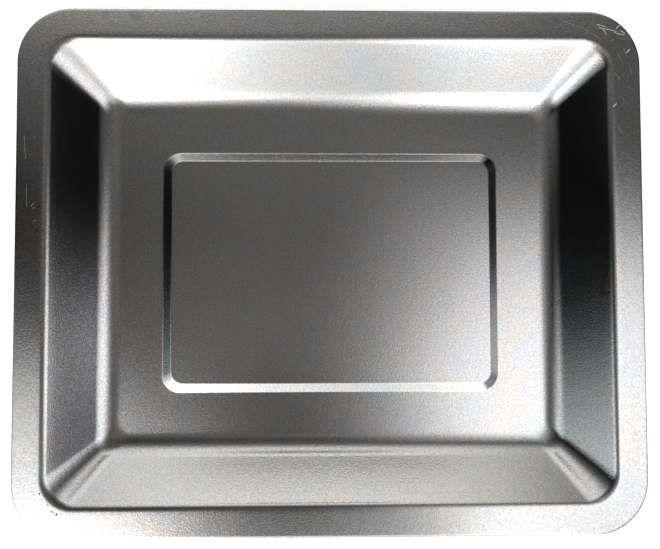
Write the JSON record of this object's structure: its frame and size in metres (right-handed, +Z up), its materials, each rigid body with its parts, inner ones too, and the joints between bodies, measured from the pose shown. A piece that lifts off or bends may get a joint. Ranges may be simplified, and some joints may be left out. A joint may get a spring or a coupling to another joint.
{
  "type": "paint roller tray",
  "caption": "Shallow rectangular pressed-steel tray with sloping walls, a flat hemmed flange and a raised rectangular panel in its base.",
  "frame": {"origin": "under the middle of the pan, on the plane that its flat base stands on", "axes": "+X along the long side, +Y along the short side, +Z up out of the open top"},
  "size_m": [0.3, 0.2514, 0.0228],
  "materials": {
    "satin_steel": "satin bare sheet steel with a fine matt grain, lightly scuffed"
  },
  "bodies": {
    "root": {"tray_pan": "satin_steel"}
  },
  "joints": []
}
